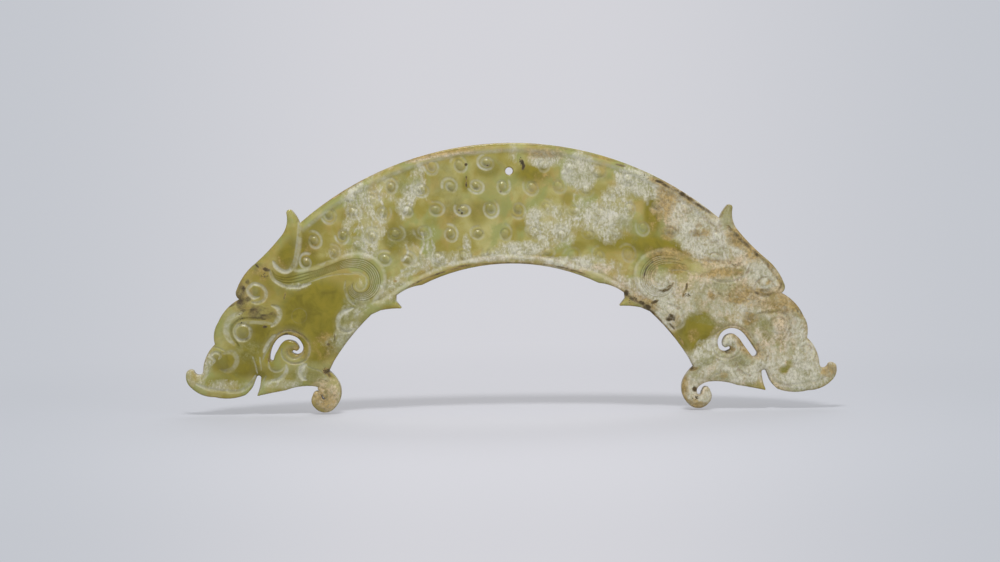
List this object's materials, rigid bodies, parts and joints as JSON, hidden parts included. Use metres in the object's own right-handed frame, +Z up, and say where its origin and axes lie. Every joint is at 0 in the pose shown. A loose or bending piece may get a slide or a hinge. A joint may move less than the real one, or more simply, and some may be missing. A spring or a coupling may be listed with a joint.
{
  "type": "jade huang pendant",
  "caption": "Flat arched jade slab with a dragon head in profile at each end, rows of grain bosses and a drilled hole at the crown for hanging.",
  "frame": {"origin": "middle of the suspension hole, halfway through the slab", "axes": "+X along the chord of the arch, to the right seen from the front; +Y through the thickness, out of the back face; +Z up, from the heads to the crown"},
  "size_m": [0.1752, 0.0047, 0.072],
  "materials": {
    "jade": "polished olive green jade with pale altered patches",
    "soil": "dull dark burial soil"
  },
  "bodies": {
    "root": {"jade_slab": "jade", "soil_left_forehead": "soil", "soil_left_plume": "soil", "soil_left_neck": "soil", "soil_crown_vein": "soil", "soil_right_rim": "soil", "soil_right_barb": "soil", "soil_right_scroll": "soil", "soil_right_curl": "soil"}
  },
  "joints": []
}
